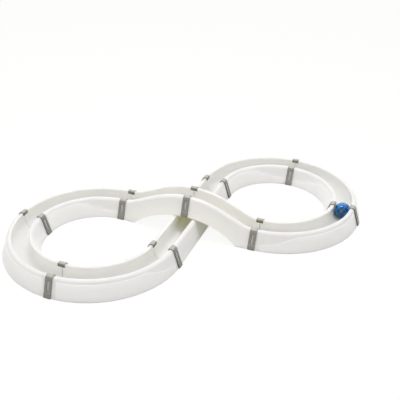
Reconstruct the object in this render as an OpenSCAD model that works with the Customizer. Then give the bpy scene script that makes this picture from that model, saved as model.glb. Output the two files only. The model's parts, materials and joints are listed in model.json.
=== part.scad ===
// Cat ball track toy: moulded track pieces joined by snap clips into a figure eight.
// One run of track bridges over the other, and a light-up ball rolls in the channel.
// The origin is on the floor, under the crossing. X runs from loop to loop.

/* [Layout] */
// Radius of each loop, measured to the middle of the channel
curve_r = 165; // [150:1:220]
// Gap between two track pieces at a joint
joint_gap = 0.8; // [0.2:0.1:1]

/* [Track section] */
// Height of the ridges above the floor
track_h = 44.5; // [43:0.5:48]
// Thickness of the moulded wall
wall = 1.8; // [1.2:0.1:2.2]
// Half the distance between the tops of the two ridges
crest_half = 21.8; // [21.4:0.1:24]
// Radius of the shoulder on the outside of a ridge
shoulder_r = 8; // [7:0.5:14]
// Radius of the rolled rim on the channel side of a ridge
rim_r = 2.6; // [2.4:0.1:3]
// Lean of the outer faces from upright, in degrees
foot_lean = 18; // [8:0.5:20]
// Height of the channel's floor above the ground
channel_floor = 4; // [3:0.1:5]
// How far the moulded wave on a curve's outer faces stands out at its top
wave_out = 1.1; // [0.6:0.1:1.6]
// Height of the wave's low end above the floor
wave_low = 13.5; // [12.6:0.1:16]
// Tilt of the cut that shapes the wave's rising edge, in degrees
wave_tilt = 37; // [30:1:45]
// Length of plain track at each end of a curve, where the clips sit
clip_bed = 14; // [12:0.5:18]

/* [Bridge] */
// Height of the bridge's foot edge above the ridges of the track that passes under it
bridge_clear = 3.2; // [2.4:0.1:8]
// Radius of the bend at the foot of a ramp
ramp_foot_r = 115; // [100:1:130]
// Radius of the bend at the top of a ramp
ramp_top_r = 163; // [145:1:180]
// Distance along the floor from the crossing to the corner where a ramp's skirt lifts off
arch_half = 128; // [122:1:136]

/* [Clips] */
// Length of track that a clip covers
clip_w = 16.3; // [12:0.1:20]
// Thickness of a clip's strap
clip_t = 1.8; // [1.2:0.1:2.2]
// Least clearance between a clip and the track
clip_slack = 0.1; // [0.1:0.05:0.3]
// Length of the lip that hooks down into the channel
clip_lip = 3.6; // [2.5:0.1:5]
// Height of a clip's lower edge above the floor
clip_foot = 0.5; // [0.3:0.1:1]
// Height of the plain block under a clip's window
block_h = 12.4; // [8:0.1:14]
// How far that block stands out from the strap
block_t = 0.5; // [0.3:0.1:0.8]
// Width of a clip's window
window_w = 4.4; // [3.6:0.1:6]
// Height of the window's lower end above the floor
window_low = 13.8; // [12.8:0.1:16]
// Height of the window's upper end above the floor
window_high = 36; // [26:0.5:38]
// How far the nubs in the window stand out from the track
nub_t = 1.5; // [0.8:0.1:2]
// Clearance round a nub in its window
nub_gap = 0.3; // [0.2:0.05:0.5]

/* [Ball] */
// Diameter of the ball
ball_d = 40; // [36:0.5:40.5]
// Clearance between the ball's side and the channel wall
ball_play = 1.5; // [1:0.1:1.8]
// Clearance under the ball
ball_gap = 0.3; // [0.2:0.05:0.5]
// Where the ball stands in the right loop, in degrees round from the X axis
ball_angle = -42; // [-120:1:120]
// Tilt of the ball's seam from level, in degrees
ball_tilt = 35; // [0:1:90]
// Thickness of the ball's shell
shell_t = 1.8; // [1.4:0.1:2.4]
// Height of the lapped lip at the ball's seam
lap_h = 1.6; // [1:0.1:2.4]
// Clearance between two parts of the ball that fit together
fit_gap = 0.15; // [0.05:0.05:0.2]

/* [Ball core] */
// Outer diameter of the core housing
core_d = 19.2; // [18:0.1:20]
// Wall of the core housing
core_wall = 1.1; // [0.9:0.1:1.4]
// Depth of the rebate that seats the circuit board
rebate = 0.5; // [0.3:0.1:0.7]
// Diameter of a button cell
cell_d = 7.9; // [7:0.1:9]
// Thickness of a button cell
cell_h = 3.6; // [3:0.1:4]
// Bevel round a button cell's upper face
cell_bevel = 0.5; // [0.3:0.1:0.8]
// Thickness of the battery contact
contact_t = 0.4; // [0.3:0.1:0.6]
// Thickness of the circuit board
board_t = 1; // [0.8:0.1:1.6]
// Diameter of a light-emitting diode
led_d = 3; // [2.5:0.1:3.4]
// Height of a light-emitting diode above the board
led_h = 4; // [3.6:0.1:5]
// Distance of each diode from the core's axis
led_out = 4.2; // [4:0.1:5]
// Distance of the motion switch from the core's axis
switch_out = 4; // [3.5:0.1:5]
// Diameter of the motion switch's pin
pin_d = 0.8; // [0.6:0.1:1]
// Height of the motion switch's pin above the board
pin_h = 3.4; // [3:0.1:3.6]
// Diameter of the switch spring, to the middle of its wire
spring_d = 2.4; // [2.2:0.1:2.8]
// Wire diameter of the switch spring
spring_wire = 0.4; // [0.3:0.05:0.5]
// Outer diameter of the posts that hold the core in the shell
post_d = 7; // [6:0.1:8]
// Diameter of the spigots on the core's ends
spigot_d = 3.6; // [3:0.1:4.2]
// Length of the spigots on the core's ends
spigot_h = 2.4; // [1.5:0.1:3]

/* [Hidden] */
$fn = 96;
overrun = wall;               // how far a cut runs past the face that it cuts
piece_angle = 90;             // each curved piece turns a quarter of a circle
half_piece = piece_angle / 2;

// Loops: each loop's two straight tails meet at right angles in the crossing
loop_x = curve_r * sqrt(2);
tail = curve_r;               // from the crossing to a loop's first joint
joint_trim = asin(joint_gap / 2 / curve_r);

// Track section: arcs for the channel, the rim and the shoulder, joined by straight faces
shoulder_z = track_h - shoulder_r;
rim_z = track_h - rim_r;
channel_r = ball_d / 2 + ball_play;
channel_z = channel_floor + channel_r;
foot_half = crest_half + shoulder_r * cos(foot_lean)
    + (shoulder_z + shoulder_r * sin(foot_lean)) * tan(foot_lean);
// Outer face at height z, moved out by grow
function face_x(z, grow) = foot_half + grow / cos(foot_lean) - z * tan(foot_lean);
// The channel wall is the line that touches the channel's arc and the rim's arc
rim_from_channel = [crest_half, rim_z - channel_z];
wall_lean = atan2(rim_from_channel.y, rim_from_channel.x)
    - acos((channel_r + rim_r) / norm(rim_from_channel));
wall_normal = [cos(wall_lean), sin(wall_lean)];
function rim_end(grow) = [crest_half, rim_z] - (rim_r + grow) * wall_normal;
// Channel wall at height z, moved into the channel by grow
function wall_x(z, grow) = rim_end(grow).x + (rim_end(grow).y - z) * tan(wall_lean);
// Points along an arc, both ends counted
function arc(centre, r, from, to, steps) =
    [for (i = [0 : steps]) let (a = from + (to - from) * i / steps) centre + r * [cos(a), sin(a)]];
function reversed(list) = [for (i = [len(list) - 1 : -1 : 0]) list[i]];
shoulder_steps = 8;
rim_steps = 6;
channel_steps = 12;
// Top of a ridge, moved out by grow: over the shoulder and round the rim
function ridge_top(grow) = concat(
    arc([crest_half, shoulder_z], shoulder_r + grow, foot_lean, 90, shoulder_steps),
    [for (i = [1 : rim_steps])
        arc([crest_half, rim_z], rim_r + grow, 90, 180 + wall_lean, rim_steps)[i]]
);
// Half of the section, from the foot at height low to the middle of the channel's floor
function half_path(grow, low) = concat(
    [[face_x(low, grow), low]],
    ridge_top(grow),
    arc([0, channel_z], channel_r - grow, wall_lean, -90, channel_steps)
);
// The section from foot to foot
function track_path(grow, low) = concat(
    half_path(grow, low),
    [for (p = reversed(half_path(grow, low))) if (p.x > overrun / channel_steps) [-p.x, p.y]]
);

// Wave: a proud panel on a curve's outer faces, cut off along a slant from its low end
wave_top = shoulder_z;
bed_angle = asin(clip_bed / curve_r);
function face_radius(side, z, grow) = curve_r + side * face_x(z, grow);

// Ramp: a bend up, a straight slope and a bend level again, over one tail's length
bridge_rise = track_h + bridge_clear;
slope_least = wall;           // a short ramp has tighter bends, with this much straight between them
steepest = 2 * atan(bridge_rise / (tail + slope_least));
bends_room = (tail - slope_least * cos(steepest)) / sin(steepest);
bends_share = min(1, bends_room / (ramp_foot_r + ramp_top_r));
foot_bend_r = ramp_foot_r * bends_share;
top_bend_r = ramp_top_r * bends_share;
bends_r = foot_bend_r + top_bend_r;
slope_reach = norm([tail, bends_r - bridge_rise]);
slope = atan2(tail, bends_r - bridge_rise) - acos(bends_r / slope_reach);
slope_len = sqrt(pow(slope_reach, 2) - pow(bends_r, 2));
slope_start = foot_bend_r * [sin(slope), 1 - cos(slope)];
skirt_drop = slope_start.y;   // the skirt hangs this far under the section's foot
arch_r = (pow(arch_half, 2) + pow(bridge_rise, 2)) / (2 * bridge_rise);

// Clips: flat straps on bent track, so the clearance takes up the bulge over the clip's width
bulge = pow(clip_w / 2, 2) / 2 / min(curve_r - foot_half, foot_bend_r - track_h);
clip_gap = clip_slack + bulge;
strap_out = clip_gap + clip_t;
lip_end = rim_z - clip_lip;
nub_len = window_w / 2 - nub_gap - joint_gap / 2;

// Ball
ball_r = ball_d / 2;
ball_z = channel_floor + ball_gap + ball_r;
shell_r = ball_r - shell_t;
cup_depth = contact_t + 3 * cell_h;
cup_h = core_wall + cup_depth + board_t;
cover_h = led_h + core_wall + fit_gap;
core_low = -(cup_h + cover_h) / 2;
core_split = core_low + cup_h;
core_high = core_low + cup_h + cover_h;
board_low = core_split - board_t;
cell_low = core_low + core_wall + contact_t;
well_d = cell_d + 2 * fit_gap;

// Track joints on the loops: name, side of the crossing, angle round the loop
loop_joints = [
    ["left_back", -1, 135],
    ["left_front", -1, 225],
    ["left_ramp", -1, 45],
    ["left_straight", -1, 315],
    ["right_back", 1, 45],
    ["right_front", 1, 315],
    ["right_ramp", 1, 225],
    ["right_straight", 1, 135]
];
// Curved pieces: name, side of the crossing, angle of the piece's middle round the loop,
// and the end where the wave is low, 0 for the end at the lower angle
curves = [
    ["curve_left_back", -1, 90, 0],
    ["curve_left_end", -1, 180, 0],
    ["curve_left_front", -1, 270, 1],
    ["curve_right_back", 1, 90, 0],
    ["curve_right_end", 1, 0, 1],
    ["curve_right_front", 1, 270, 0]
];
ramp_turn = 45;               // the ramps run down from the crossing along this diagonal
// Clips: name, place of the joint, direction from the joint to the ridge that the clip is on
clips = concat(
    [for (j = loop_joints, side = ["outer", "inner"]) [
        str("clip_", j[0], "_", side),
        [j[1] * loop_x, 0, 0] + curve_r * [cos(j[2]), sin(j[2]), 0],
        side == "outer" ? j[2] : j[2] + 180
    ]],
    [for (side = ["front", "back"]) [
        str("clip_bridge_", side),
        [0, 0, bridge_rise],
        side == "front" ? ramp_turn + 180 : ramp_turn
    ]]
);
// Button cells: name and place in the stack
cells = [["button_cell_low", 0], ["button_cell_mid", 1], ["button_cell_top", 2]];
leds = [["led_left", -1], ["led_right", 1]];

// The moulded wall: two hollow ridges, open below, with the ball's channel between them
module track_section(low) {
    polygon(concat(track_path(0, low), reversed(track_path(-wall, low))));
}

// Half nubs at a piece's end. X is across the track, and Y runs into the piece.
module end_nubs() {
    low = window_low + nub_gap;
    high = window_high - nub_gap;
    root = -wall / 2;
    for (side = [0, 1])
        mirror([side, 0, 0])
            translate([0, joint_gap / 2 + nub_len, 0])
                rotate([90, 0, 0])
                    linear_extrude(nub_len)
                        polygon([
                            [face_x(low, root), low],
                            [face_x(low, nub_t), low],
                            [face_x(high, nub_t), high],
                            [face_x(high, root), high]
                        ]);
}

module track_color() {
    color([0.93, 0.93, 0.90])
        children();
}

// The wave on one face of a curve: side is 1 for the face outside the loop and -1 for the one inside
module wave(side) {
    root = -wall / 2;
    rotate([0, 0, bed_angle])
        rotate_extrude(angle = piece_angle - 2 * bed_angle)
            polygon([
                [face_radius(side, 0, root), 0],
                [face_radius(side, 0, 0), 0],
                [face_radius(side, wave_top, wave_out), wave_top],
                [face_radius(side, wave_top, root), wave_top]
            ]);
}

// Space above the slant: it takes away the wave's upper part near its low end
module above_slant(side) {
    reach = 2 * (curve_r + foot_half);
    translate([face_radius(side, wave_low, 0), 0, wave_low])
        rotate([0, wave_tilt, 0])
            translate([-reach, -reach, 0])
                cube([2 * reach, 2 * reach, reach]);
}

// A quarter of a loop, centred on the given angle round it
module curve_piece(side, middle, low_end) {
    track_color()
        translate([side * loop_x, 0, 0])
            rotate([0, 0, middle]) {
                rotate([0, 0, joint_trim - half_piece])
                    rotate_extrude(angle = piece_angle - 2 * joint_trim)
                        translate([curve_r, 0])
                            track_section(0);
                for (end = [0, 1])
                    mirror([0, end, 0])
                        rotate([0, 0, -half_piece])
                            translate([curve_r, 0, 0])
                                end_nubs();
                for (face = [-1, 1])
                    mirror([0, low_end, 0])
                        rotate([0, 0, -half_piece])
                            difference() {
                                wave(face);
                                above_slant(face);
                            }
            }
}

// The track that runs straight through, on the floor under the bridge
module underpass_straight() {
    track_color()
        rotate([0, 0, -ramp_turn]) {
            rotate([90, 0, 0])
                linear_extrude(2 * tail - joint_gap, center = true)
                    track_section(0);
            for (end = [0, 1])
                mirror([0, end, 0])
                    translate([0, -tail, 0])
                        end_nubs();
        }
}

// Side view of a ramp's space: level floor, then the arch that lifts off it
module ramp_side() {
    difference() {
        translate([joint_gap / 2, 0])
            square([tail - joint_gap, bridge_rise + track_h + overrun]);
        translate([tail, bridge_rise - arch_r])
            circle(arch_r);
    }
}

// One ramp, from its foot joint at the origin up along Y to the joint at the crossing
module ramp_piece() {
    side_w = 2 * (foot_half + skirt_drop);
    track_color() {
        intersection() {
            // The bends meet the slope in its own tilted frame, so their faces match
            translate([0, slope_start.x, slope_start.y])
                rotate([slope, 0, 0]) {
                    mirror([0, 1, 0])
                        translate([0, 0, foot_bend_r])
                            rotate([0, 90, 0])
                                rotate_extrude(angle = slope)
                                    translate([foot_bend_r, 0])
                                        rotate(90)
                                            track_section(-skirt_drop);
                    translate([0, slope_len, 0])
                        rotate([90, 0, 0])
                            linear_extrude(slope_len)
                                track_section(-skirt_drop);
                    translate([0, slope_len, -top_bend_r])
                        rotate([0, -90, 0])
                            rotate_extrude(angle = slope)
                                translate([top_bend_r, 0])
                                    rotate(-90)
                                        track_section(-skirt_drop);
                }
            rotate([90, 0, 90])
                linear_extrude(side_w, center = true)
                    ramp_side();
        }
        end_nubs();
        translate([0, tail, bridge_rise])
            mirror([0, 1, 0])
                end_nubs();
    }
}

module ramp_left() {
    rotate([0, 0, 180 + ramp_turn])
        translate([0, -tail, 0])
            ramp_piece();
}

module ramp_right() {
    rotate([0, 0, ramp_turn])
        translate([0, -tail, 0])
            ramp_piece();
}

// Section of a clip: a strap over the ridge, a lip in the channel and a thicker block below
module clip_section() {
    inside = concat([[face_x(clip_foot, clip_gap), clip_foot]], ridge_top(clip_gap), [
        [wall_x(lip_end, clip_gap), lip_end]
    ]);
    outside = concat(
        [
            [face_x(clip_foot, strap_out + block_t), clip_foot],
            [face_x(block_h, strap_out + block_t), block_h],
            [face_x(block_h, strap_out), block_h]
        ],
        ridge_top(strap_out),
        [[wall_x(lip_end, strap_out), lip_end]]
    );
    polygon(concat(outside, reversed(inside)));
}

// One snap clip, bridging a joint along Y, on the ridge towards X
module clip(place, direction) {
    color([0.56, 0.56, 0.53])
        translate(place)
            rotate([0, 0, direction])
                difference() {
                    rotate([90, 0, 0])
                        linear_extrude(clip_w, center = true)
                            clip_section();
                    translate([crest_half, -window_w / 2, window_low])
                        cube([foot_half, window_w, window_high - window_low]);
                }
}

// Puts what it holds at the ball's place, tilted with the ball
module in_ball() {
    translate([loop_x, 0, ball_z])
        rotate([0, 0, ball_angle])
            translate([curve_r, 0, 0])
                rotate([0, ball_tilt, 0])
                    children();
}

// Half of the ball's shell, as a section to be turned about the axis: outside above zero height
module shell_section() {
    difference() {
        intersection() {
            circle(ball_r);
            square(ball_r);
        }
        circle(shell_r);
    }
}

// Post at a shell's pole: it holds a spigot of the core
module post_section(core_end) {
    intersection() {
        translate([spigot_d / 2 + fit_gap, core_end + fit_gap])
            square([(post_d - spigot_d) / 2 - fit_gap, ball_r]);
        circle(shell_r + shell_t / 2);
    }
}

module ball_shell_lower() {
    lip_r = shell_r + shell_t / 2 - fit_gap;
    color([0.05, 0.30, 0.70, 0.6])
        in_ball()
            mirror([0, 0, 1])
                difference() {
                    union() {
                        rotate_extrude() {
                            shell_section();
                            post_section(-core_low);
                        }
                        translate([0, 0, -lap_h])
                            cylinder(h = 2 * lap_h, r = lip_r);
                    }
                    translate([0, 0, -lap_h - overrun])
                        cylinder(h = 2 * lap_h + overrun, r = sqrt(pow(shell_r, 2) - pow(lap_h, 2)));
                }
}

module ball_shell_upper() {
    color([0.05, 0.30, 0.70, 0.6])
        in_ball()
            difference() {
                rotate_extrude() {
                    shell_section();
                    post_section(core_high);
                }
                translate([0, 0, -overrun])
                    cylinder(h = overrun + lap_h + fit_gap, r = shell_r + shell_t / 2);
            }
}

module core_cup() {
    color([0.05, 0.22, 0.30])
        in_ball() {
            difference() {
                translate([0, 0, core_low])
                    cylinder(h = cup_h, d = core_d);
                translate([0, 0, core_low + core_wall])
                    cylinder(h = cup_h, d = core_d - 2 * core_wall);
                translate([0, 0, board_low])
                    cylinder(h = board_t + overrun, d = core_d - 2 * core_wall + 2 * rebate);
            }
            // Well that keeps the cells in line
            translate([0, 0, core_low + core_wall / 2])
                difference() {
                    cylinder(h = board_low - fit_gap - core_low - core_wall / 2, d = well_d + 2 * core_wall);
                    translate([0, 0, core_wall / 2])
                        cylinder(h = cup_h, d = well_d);
                }
            translate([0, 0, core_low - spigot_h])
                cylinder(h = spigot_h + core_wall / 2, d = spigot_d);
        }
}

module core_cover() {
    color([0.08, 0.32, 0.38])
        in_ball() {
            difference() {
                translate([0, 0, core_split])
                    cylinder(h = cover_h, d = core_d);
                translate([0, 0, core_split - overrun])
                    cylinder(h = cover_h - core_wall + overrun, d = core_d - 2 * core_wall);
            }
            translate([0, 0, core_high - core_wall / 2])
                cylinder(h = spigot_h + core_wall / 2, d = spigot_d);
        }
}

module circuit_board() {
    color([0.05, 0.35, 0.18])
        in_ball()
            translate([0, 0, board_low])
                cylinder(h = board_t, d = core_d - 2 * core_wall + 2 * rebate - 2 * fit_gap);
}

// A light-emitting diode with a flange and a domed lens
module led(side) {
    color([0.55, 0.80, 1.00])
        in_ball()
            translate([side * led_out, 0, core_split]) {
                cylinder(h = led_h - led_d / 2, d = led_d);
                translate([0, 0, led_h - led_d / 2])
                    sphere(d = led_d);
            }
}

// A button cell with a bevelled upper face
module button_cell(place) {
    color([0.78, 0.78, 0.76])
        in_ball()
            translate([0, 0, cell_low + place * cell_h])
                rotate_extrude()
                    polygon([
                        [0, 0],
                        [cell_d / 2, 0],
                        [cell_d / 2, cell_h - cell_bevel],
                        [cell_d / 2 - cell_bevel, cell_h],
                        [0, cell_h]
                    ]);
}

module battery_contact() {
    color([0.80, 0.70, 0.40])
        in_ball()
            translate([0, 0, core_low + core_wall])
                difference() {
                    cylinder(h = contact_t, d = cell_d);
                    translate([0, 0, -overrun])
                        cylinder(h = contact_t + 2 * overrun, d = cell_d / 2);
                }
}

module motion_pin() {
    color([0.85, 0.75, 0.40])
        in_ball()
            translate([0, switch_out, core_split])
                cylinder(h = pin_h, d = pin_d);
}

// Spring of the motion switch: a shaking ball makes it touch the pin
module motion_spring() {
    turns = 5;
    rings = 12;
    sides = 6;
    wire_r = spring_wire / 2;
    rise = (pin_h - spring_wire) / turns;
    steps = turns * rings;
    points = [
        for (i = [0 : steps], k = [0 : sides - 1])
            let (turn = 360 * i / rings, round = 360 * k / sides)
                [
                    (spring_d / 2 + wire_r * cos(round)) * cos(turn),
                    (spring_d / 2 + wire_r * cos(round)) * sin(turn),
                    wire_r + rise * i / rings + wire_r * sin(round)
                ]
    ];
    walls = [
        for (i = [0 : steps - 1], k = [0 : sides - 1])
            let (next = (k + 1) % sides, a = i * sides, b = a + sides)
                [a + k, a + next, b + next, b + k]
    ];
    first = [for (k = [sides - 1 : -1 : 0]) k];
    last = [for (k = [0 : sides - 1]) steps * sides + k];
    color([0.75, 0.75, 0.72])
        in_ball()
            translate([0, switch_out, core_split])
                polyhedron(points, concat(walls, [first, last]));
}

for (c = curves)
    curve_piece(c[1], c[2], c[3]);
ramp_left();
ramp_right();
underpass_straight();
for (c = clips)
    clip(c[1], c[2]);
ball_shell_lower();
ball_shell_upper();
core_cup();
core_cover();
circuit_board();
for (l = leds)
    led(l[1]);
for (c = cells)
    button_cell(c[1]);
battery_contact();
motion_pin();
motion_spring();
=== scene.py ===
import json
import math

import bpy
from mathutils import Matrix, Vector

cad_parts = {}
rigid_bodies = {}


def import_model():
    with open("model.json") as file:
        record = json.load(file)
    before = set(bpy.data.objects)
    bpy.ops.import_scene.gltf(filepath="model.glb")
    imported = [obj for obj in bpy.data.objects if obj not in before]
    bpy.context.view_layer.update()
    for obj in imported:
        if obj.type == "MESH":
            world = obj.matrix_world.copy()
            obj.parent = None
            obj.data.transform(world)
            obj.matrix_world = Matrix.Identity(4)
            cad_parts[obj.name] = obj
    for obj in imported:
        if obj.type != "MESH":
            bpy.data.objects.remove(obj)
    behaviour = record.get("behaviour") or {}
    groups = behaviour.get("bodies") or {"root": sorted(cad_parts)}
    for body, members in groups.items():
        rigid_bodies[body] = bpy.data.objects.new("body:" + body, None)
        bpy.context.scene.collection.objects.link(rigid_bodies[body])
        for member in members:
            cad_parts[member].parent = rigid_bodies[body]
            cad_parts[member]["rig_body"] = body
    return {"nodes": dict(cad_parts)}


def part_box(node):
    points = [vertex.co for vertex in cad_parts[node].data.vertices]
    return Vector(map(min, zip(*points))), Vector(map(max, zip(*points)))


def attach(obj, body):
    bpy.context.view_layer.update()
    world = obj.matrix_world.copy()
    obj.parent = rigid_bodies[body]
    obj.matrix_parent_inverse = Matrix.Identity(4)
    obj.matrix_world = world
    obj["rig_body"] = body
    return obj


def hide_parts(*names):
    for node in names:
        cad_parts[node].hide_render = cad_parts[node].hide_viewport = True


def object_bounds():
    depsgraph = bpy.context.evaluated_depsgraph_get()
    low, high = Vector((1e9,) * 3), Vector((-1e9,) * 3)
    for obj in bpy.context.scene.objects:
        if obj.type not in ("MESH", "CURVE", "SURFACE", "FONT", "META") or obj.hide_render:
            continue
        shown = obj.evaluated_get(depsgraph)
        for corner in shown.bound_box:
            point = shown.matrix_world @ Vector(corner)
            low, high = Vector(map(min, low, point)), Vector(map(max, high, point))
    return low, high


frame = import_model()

cad_low, cad_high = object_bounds()

# Camera: it stands in front and to the left of the toy and looks down on the crossing.
# Its place, focal length and small roll come from the nine track joints as the photograph shows them.
camera_place = Vector((-0.5662, -1.2832, 0.8980))
camera_target = Vector((0.0693, 0.1001, 0.0))
camera_roll = math.radians(1.719)
camera_lens = 62.39
camera_sensor = 36


def pointed(place, target):
    """Where a camera or a lamp stands, turned to look at its target."""
    look = (target - place).to_track_quat("-Z", "Y").to_matrix().to_4x4()
    return Matrix.Translation(place) @ look


camera_data = bpy.data.cameras.new("camera")
camera_data.lens = camera_lens
camera_data.sensor_width = camera_sensor
camera = bpy.data.objects.new("camera", camera_data)
camera.matrix_world = pointed(camera_place, camera_target) @ Matrix.Rotation(camera_roll, 4, "Z")
bpy.context.scene.collection.objects.link(camera)
bpy.context.scene.camera = camera

# Light: a soft white room, a lamp high behind the toy, a smaller one high off its front right corner
# and a weak softbox, lower, off its front left corner. Seen directly, in a reflection or through clear
# plastic, the room is plain white; it lights the toy a little below that.
room_light = 0.805
room_tint = (1.0, 0.99, 0.96, 1)
plain_white = (1, 1, 1, 1)
lamp_tint = (1.0, 0.985, 0.955)
lamp_target = Vector((0, 0, 0))
# Each lamp has a name, a place, a width in metres and a power in watts.
lamps = (
    ("overhead_lamp", Vector((0.0, 0.4, 1.9)), 0.5, 14.5),
    ("key_lamp", Vector((1.0, -0.6, 1.73)), 0.4, 3.6),
    ("left_softbox", Vector((-1.3, -1.3, 1.1)), 1.2, 5.5),
)


def set_inputs(node, values):
    """Sets inputs of a shader node by their names."""
    for name, value in values.items():
        node.inputs[name].default_value = value


def wire(tree, *wires):
    """Links nodes. Each wire is a node and its output, then the node and the input that it leads to."""
    for giver, given, taker, taken in wires:
        tree.links.new(giver.outputs[given], taker.inputs[taken])


def plain_where_seen(tree, lit, plain, plain_share, out):
    """Mixes the plain shader in where the camera sees it, directly, mirrored or through clear plastic."""
    seen = tree.nodes.new("ShaderNodeLightPath")
    either = tree.nodes.new("ShaderNodeMath")
    any_of_three = tree.nodes.new("ShaderNodeMath")
    share = tree.nodes.new("ShaderNodeMath")
    mix = tree.nodes.new("ShaderNodeMixShader")
    either.operation = "MAXIMUM"
    any_of_three.operation = "MAXIMUM"
    share.operation = "MULTIPLY"
    share.inputs[1].default_value = plain_share
    wire(
        tree,
        (seen, "Is Camera Ray", either, 0),
        (seen, "Is Glossy Ray", either, 1),
        (either, 0, any_of_three, 0),
        (seen, "Is Transmission Ray", any_of_three, 1),
        (any_of_three, 0, share, 0),
        (share, 0, mix, "Fac"),
        (lit, 0, mix, 1),
        (plain, 0, mix, 2),
        (mix, 0, out, "Surface"),
    )


world = bpy.data.worlds.new("studio")
bpy.context.scene.world = world
world.use_nodes = True
room = world.node_tree
room.nodes.clear()
room_glow = room.nodes.new("ShaderNodeBackground")
room_white = room.nodes.new("ShaderNodeBackground")
room_out = room.nodes.new("ShaderNodeOutputWorld")
set_inputs(room_glow, {"Color": room_tint, "Strength": room_light})
set_inputs(room_white, {"Color": plain_white})
plain_where_seen(room, room_glow, room_white, plain_share=1, out=room_out)

for name, place, width, power in lamps:
    lamp_data = bpy.data.lights.new(name, "AREA")
    lamp_data.shape = "SQUARE"
    lamp_data.size = width
    lamp_data.energy = power
    lamp_data.color = lamp_tint
    lamp = bpy.data.objects.new(name, lamp_data)
    lamp.matrix_world = pointed(place, lamp_target)
    bpy.context.scene.collection.objects.link(lamp)

# Floor: a plain pale studio floor that the toy stands free on, as it would on a tiled or wooden floor.
# It is nearly as white as the room and keeps the toy's soft shadow.
floor_size = 40
floor_whiteness = 0.9
floor_colour = (0.88, 0.872, 0.84, 1)

bpy.ops.object.select_all(action="DESELECT")
bpy.ops.mesh.primitive_plane_add(size=floor_size, location=(0, 0, cad_low.z))
floor = bpy.context.object
floor.name = "studio_floor"
floor_paint = bpy.data.materials.new("studio_floor")
floor_paint.use_nodes = True
paint = floor_paint.node_tree
paint.nodes.clear()
paint_matt = paint.nodes.new("ShaderNodeBsdfDiffuse")
paint_white = paint.nodes.new("ShaderNodeEmission")
paint_out = paint.nodes.new("ShaderNodeOutputMaterial")
set_inputs(paint_matt, {"Color": floor_colour})
set_inputs(paint_white, {"Color": plain_white})
plain_where_seen(paint, paint_matt, paint_white, plain_share=floor_whiteness, out=paint_out)
floor.data.materials.append(floor_paint)

# Track: nine injection-moulded pieces of milky white plastic, about 2 mm thick and a little see-through.
# Six quarter circles and a straight lie on the floor, and two ramps meet at the top of the bridge.
# Deep corners, such as the channel under the bridge, are painted an olive shade where nearby surfaces
# close them in.
track_nodes = [
    "curve_left_back", "curve_left_end", "curve_left_front",
    "curve_right_back", "curve_right_end", "curve_right_front",
    "ramp_left", "ramp_right", "underpass_straight",
]
track_edge_round = 0.0003
track_smooth_angle = math.radians(28)
track_scatter_depth = 0.007
track_scatter_tint = (1.0, 1.0, 0.9)
merge_reach = 1e-6
round_steps = 2
# An edge is rounded where it turns by this much more than the angle that is shaded smooth.
round_margin = math.radians(5)


def moulding(node, edge_round, smooth_angle, plastic):
    """Stands a copy of a node in its place, with its seams closed and its moulded edges rounded."""
    source = frame["nodes"][node]
    piece = bpy.data.objects.new(node + "_moulding", source.data.copy())
    bpy.context.scene.collection.objects.link(piece)
    bpy.ops.object.select_all(action="DESELECT")
    bpy.context.view_layer.objects.active = piece
    piece.select_set(True)
    bpy.ops.mesh.customdata_custom_splitnormals_clear()
    bpy.ops.object.mode_set(mode="EDIT")
    bpy.ops.mesh.select_all(action="SELECT")
    bpy.ops.mesh.remove_doubles(threshold=merge_reach)
    bpy.ops.object.mode_set(mode="OBJECT")
    rounding = piece.modifiers.new("edge_round", "BEVEL")
    rounding.width = edge_round
    rounding.segments = round_steps
    rounding.limit_method = "ANGLE"
    rounding.angle_limit = smooth_angle + round_margin
    bpy.ops.object.modifier_apply(modifier=rounding.name)
    low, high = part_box(node)
    for point in piece.data.vertices:
        point.co = [min(max(point.co[axis], low[axis]), high[axis]) for axis in range(3)]
    bpy.ops.object.shade_smooth_by_angle(angle=smooth_angle)
    piece.data.materials.clear()
    piece.data.materials.append(plastic)
    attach(piece, source["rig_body"])
    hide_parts(node)
    return piece


def add_sockets(group, side, *sockets):
    """Gives a shader group its named inputs or outputs."""
    for name, kind in sockets:
        group.interface.new_socket(name=name, in_out=side, socket_type="NodeSocket" + kind)


# The finish that every piece shares: soft clouds of two close colours, and a fine grain that sets
# the gloss and the small unevenness of the surface.
cloud_detail = 3
grain_detail = 2
grain_height = 0.0001

finish = bpy.data.node_groups.new("worked_surface", "ShaderNodeTree")
add_sockets(
    finish,
    "INPUT",
    ("Place", "Vector"),
    ("First Colour", "Color"),
    ("Second Colour", "Color"),
    ("Clouds a Metre", "Float"),
    ("Least Roughness", "Float"),
    ("Most Roughness", "Float"),
    ("Grains a Metre", "Float"),
    ("Relief", "Float"),
)
add_sockets(finish, "OUTPUT", ("Colour", "Color"), ("Roughness", "Float"), ("Normal", "Vector"))
finish_in = finish.nodes.new("NodeGroupInput")
finish_out = finish.nodes.new("NodeGroupOutput")
clouds = finish.nodes.new("ShaderNodeTexNoise")
grain = finish.nodes.new("ShaderNodeTexNoise")
colour_mix = finish.nodes.new("ShaderNodeMix")
gloss = finish.nodes.new("ShaderNodeMapRange")
relief = finish.nodes.new("ShaderNodeBump")
colour_mix.data_type = "RGBA"
set_inputs(clouds, {"Detail": cloud_detail})
set_inputs(grain, {"Detail": grain_detail})
set_inputs(relief, {"Distance": grain_height})
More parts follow.
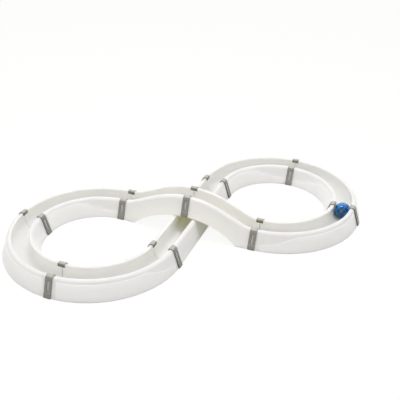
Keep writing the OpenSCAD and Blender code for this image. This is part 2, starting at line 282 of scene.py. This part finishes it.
wire(
    finish,
    (finish_in, "Place", clouds, "Vector"),
    (finish_in, "Clouds a Metre", clouds, "Scale"),
    (finish_in, "Place", grain, "Vector"),
    (finish_in, "Grains a Metre", grain, "Scale"),
    (clouds, "Fac", colour_mix, "Factor"),
    (finish_in, "First Colour", colour_mix, "A"),
    (finish_in, "Second Colour", colour_mix, "B"),
    (grain, "Fac", gloss, "Value"),
    (finish_in, "Least Roughness", gloss, "To Min"),
    (finish_in, "Most Roughness", gloss, "To Max"),
    (grain, "Fac", relief, "Height"),
    (finish_in, "Relief", relief, "Strength"),
    (colour_mix, "Result", finish_out, "Colour"),
    (gloss, "Result", finish_out, "Roughness"),
    (relief, "Normal", finish_out, "Normal"),
)


def shader_of(material):
    """The shader that gives a material its look."""
    return material.node_tree.nodes["Principled BSDF"]


def worked_material(name, colours, clouds_a_metre, roughness, grains_a_metre, relief_share):
    """A material with the shared finish, which runs between two colours and between two roughnesses."""
    made = bpy.data.materials.new(name)
    made.use_nodes = True
    tree = made.node_tree
    place = tree.nodes.new("ShaderNodeTexCoord")
    worked = tree.nodes.new("ShaderNodeGroup")
    worked.node_tree = finish
    set_inputs(worked, {
        "First Colour": (*colours[0], 1),
        "Second Colour": (*colours[1], 1),
        "Clouds a Metre": clouds_a_metre,
        "Least Roughness": roughness[0],
        "Most Roughness": roughness[1],
        "Grains a Metre": grains_a_metre,
        "Relief": relief_share,
    })
    wire(
        tree,
        (place, "Object", worked, "Place"),
        (worked, "Colour", shader_of(made), "Base Color"),
        (worked, "Roughness", shader_of(made), "Roughness"),
        (worked, "Normal", shader_of(made), "Normal"),
    )
    return made


def colour_through(material, node, colour_in, colour_out):
    """Leads the colour of a material through one more node on its way to the shader."""
    base = shader_of(material).inputs["Base Color"]
    material.node_tree.links.new(base.links[0].from_socket, node.inputs[colour_in])
    material.node_tree.links.new(node.outputs[colour_out], base)


# Painted shade for the places that nearby surfaces close in: deep corners, open seams and hidden lips; it
# turns the colour itself darker there.
# Within its reach, it is full where less than Closed In of the view is free, and gone above Open.
painted_shade_group = bpy.data.node_groups.new("painted_corner_shade", "ShaderNodeTree")
add_sockets(
    painted_shade_group,
    "INPUT",
    ("Colour", "Color"),
    ("Shade", "Color"),
    ("Reach", "Float"),
    ("Closed In", "Float"),
    ("Open", "Float"),
)
add_sockets(painted_shade_group, "OUTPUT", ("Colour", "Color"))
shading_in = painted_shade_group.nodes.new("NodeGroupInput")
shading_out = painted_shade_group.nodes.new("NodeGroupOutput")
corner = painted_shade_group.nodes.new("ShaderNodeAmbientOcclusion")
openness = painted_shade_group.nodes.new("ShaderNodeMapRange")
shade_mix = painted_shade_group.nodes.new("ShaderNodeMix")
openness.interpolation_type = "SMOOTHSTEP"
shade_mix.data_type = "RGBA"
wire(
    painted_shade_group,
    (shading_in, "Reach", corner, "Distance"),
    (corner, "AO", openness, "Value"),
    (shading_in, "Closed In", openness, "From Min"),
    (shading_in, "Open", openness, "From Max"),
    (openness, "Result", shade_mix, "Factor"),
    (shading_in, "Shade", shade_mix, "A"),
    (shading_in, "Colour", shade_mix, "B"),
    (shade_mix, "Result", shading_out, "Colour"),
)


def add_painted_shade(material, shade):
    """Lays the shared painted shade over the colour of a material, with the values of one kind of place.
    """
    placed = material.node_tree.nodes.new("ShaderNodeGroup")
    placed.node_tree = painted_shade_group
    set_inputs(placed, shade)
    colour_through(material, placed, "Colour", "Colour")


# Painted shade: deep corners of the track are painted olive where nearby surfaces close them in.
deep_corner_painted_shade = {"Shade": (0.975, 0.965, 0.50, 1), "Reach": 0.07, "Closed In": 0.1, "Open": 0.25}
# Painted light: small crevices are painted near white, which keeps the painted olive shade out of them.
crevice_painted_light = {"Shade": (0.985, 0.98, 0.96, 1), "Reach": 0.004, "Closed In": 0.35, "Open": 0.75}
# Painted shade: open seams between the pieces are painted near black where their walls close them in.
open_seam_painted_shade = {"Shade": (0.03, 0.03, 0.028, 1), "Reach": 0.002, "Closed In": 0.3, "Open": 0.45}

milk_plastic = worked_material(
    "milk_white_plastic",
    colours=((0.962, 0.955, 0.915), (0.975, 0.968, 0.93)),
    clouds_a_metre=9,
    roughness=(0.36, 0.46),
    grains_a_metre=900,
    relief_share=0.12,
)
set_inputs(shader_of(milk_plastic), {
    "Subsurface Weight": 1,
    "Subsurface Radius": track_scatter_tint,
    "Subsurface Scale": track_scatter_depth,
    "IOR": 1.46,
})
for shade in (deep_corner_painted_shade, crevice_painted_light, open_seam_painted_shade):
    add_painted_shade(milk_plastic, shade)

for node in track_nodes:
    moulding(node, track_edge_round, track_smooth_angle, milk_plastic)

# Snap clips: eighteen straps of warm grey plastic, two at each joint of the track.
# Each hooks over a ridge with its lip in the channel and snaps its window over the nubs on the track.
# The crown of the strap, where it faces up, is painted paler than its sides: a painted highlight for the
# light from above.
clip_nodes = [name for name in frame["nodes"] if name.startswith("clip_")]
clip_edge_round = 0.00035
clip_smooth_angle = math.radians(32)
painted_crown_highlight = (0.42, 0.415, 0.38, 1)
painted_crown_from = 0.62
painted_crown_to = 0.9
# Painted shade: the clip is painted near black where nearby surfaces close it in, as at its lip in the
# channel.
under_lip_painted_shade = {"Shade": (0.035, 0.035, 0.03, 1), "Reach": 0.05, "Closed In": 0.35, "Open": 0.8}

clip_plastic = worked_material(
    "warm_grey_plastic",
    colours=((0.17, 0.168, 0.148), (0.21, 0.208, 0.185)),
    clouds_a_metre=60,
    roughness=(0.28, 0.38),
    grains_a_metre=1400,
    relief_share=0.2,
)
set_inputs(shader_of(clip_plastic), {"IOR": 1.5})
grey = clip_plastic.node_tree
# Painted highlight: the strap's colour turns paler as its surface turns to face up.
strap = grey.nodes.new("ShaderNodeNewGeometry")
strap_up = grey.nodes.new("ShaderNodeSeparateXYZ")
crown = grey.nodes.new("ShaderNodeMapRange")
painted_crown_mix = grey.nodes.new("ShaderNodeMix")
crown.interpolation_type = "SMOOTHSTEP"
painted_crown_mix.data_type = "RGBA"
set_inputs(crown, {"From Min": painted_crown_from, "From Max": painted_crown_to})
set_inputs(painted_crown_mix, {"B": painted_crown_highlight})
wire(
    grey,
    (strap, "Normal", strap_up, "Vector"),
    (strap_up, "Z", crown, "Value"),
    (crown, "Result", painted_crown_mix, "Factor"),
)
colour_through(clip_plastic, painted_crown_mix, "A", "Result")
add_painted_shade(clip_plastic, under_lip_painted_shade)

for node in clip_nodes:
    moulding(node, clip_edge_round, clip_smooth_angle, clip_plastic)

# Ball: a hollow ball of clear blue plastic in two halves, lapped and glued at the seam.
# It rolls in the channel, and its polished shell shows the dark core and the bright channel behind it.
shell_edge_round = 0.0001
shell_smooth_angle = math.radians(40)

blue_plastic = worked_material(
    "clear_blue_plastic",
    colours=((0.145, 0.54, 0.945), (0.185, 0.59, 0.96)),
    clouds_a_metre=60,
    roughness=(0.02, 0.05),
    grains_a_metre=400,
    relief_share=0.02,
)
set_inputs(shader_of(blue_plastic), {"Transmission Weight": 1, "IOR": 1.49})

for node in ("ball_shell_lower", "ball_shell_upper"):
    moulding(node, shell_edge_round, shell_smooth_angle, blue_plastic)

# Core housing: a cup and a snap-on cover of dark blue-green plastic that hold the electronics.
# A spigot at each of its ends sits in a post of the shell, and keeps it at the middle of the ball.
core_edge_round = 0.0001
core_smooth_angle = math.radians(35)

core_plastic = worked_material(
    "dark_teal_plastic",
    colours=((0.015, 0.15, 0.17), (0.025, 0.19, 0.21)),
    clouds_a_metre=120,
    roughness=(0.25, 0.35),
    grains_a_metre=900,
    relief_share=0.1,
)

for node in ("core_cup", "core_cover"):
    moulding(node, core_edge_round, core_smooth_angle, core_plastic)

# Electronics: a green circuit board with two lights and a spring switch that wakes them when the
# ball rolls, and under the board three button cells on a brass contact ring.
board_laminate = worked_material(
    "green_laminate",
    colours=((0.01, 0.16, 0.06), (0.02, 0.22, 0.08)),
    clouds_a_metre=500,
    roughness=(0.3, 0.45),
    grains_a_metre=2500,
    relief_share=0.15,
)
lens_resin = worked_material(
    "clear_lens_resin",
    colours=((0.5, 0.78, 1.0), (0.6, 0.86, 1.0)),
    clouds_a_metre=300,
    roughness=(0.05, 0.1),
    grains_a_metre=900,
    relief_share=0.02,
)
set_inputs(shader_of(lens_resin), {"Transmission Weight": 0.5})


def bare_metal(name, colours):
    """A bare metal, with the fine grain that rolling and drawing leave on it."""
    made = worked_material(
        name,
        colours,
        clouds_a_metre=700,
        roughness=(0.2, 0.35),
        grains_a_metre=3000,
        relief_share=0.1,
    )
    set_inputs(shader_of(made), {"Metallic": 1})
    return made


bright_steel = bare_metal("bright_steel", ((0.62, 0.62, 0.60), (0.74, 0.74, 0.72)))
sheet_brass = bare_metal("sheet_brass", ((0.62, 0.46, 0.18), (0.72, 0.56, 0.24)))

inner_finishes = {
    "circuit_board": board_laminate,
    "led_left": lens_resin,
    "led_right": lens_resin,
    "button_cell_low": bright_steel,
    "button_cell_mid": bright_steel,
    "button_cell_top": bright_steel,
    "battery_contact": sheet_brass,
    "motion_pin": sheet_brass,
    "motion_spring": bright_steel,
}
for node, surface in inner_finishes.items():
    frame["nodes"][node].data.materials.clear()
    frame["nodes"][node].data.materials.append(surface)

bpy.context.scene.view_settings.view_transform = "Standard"
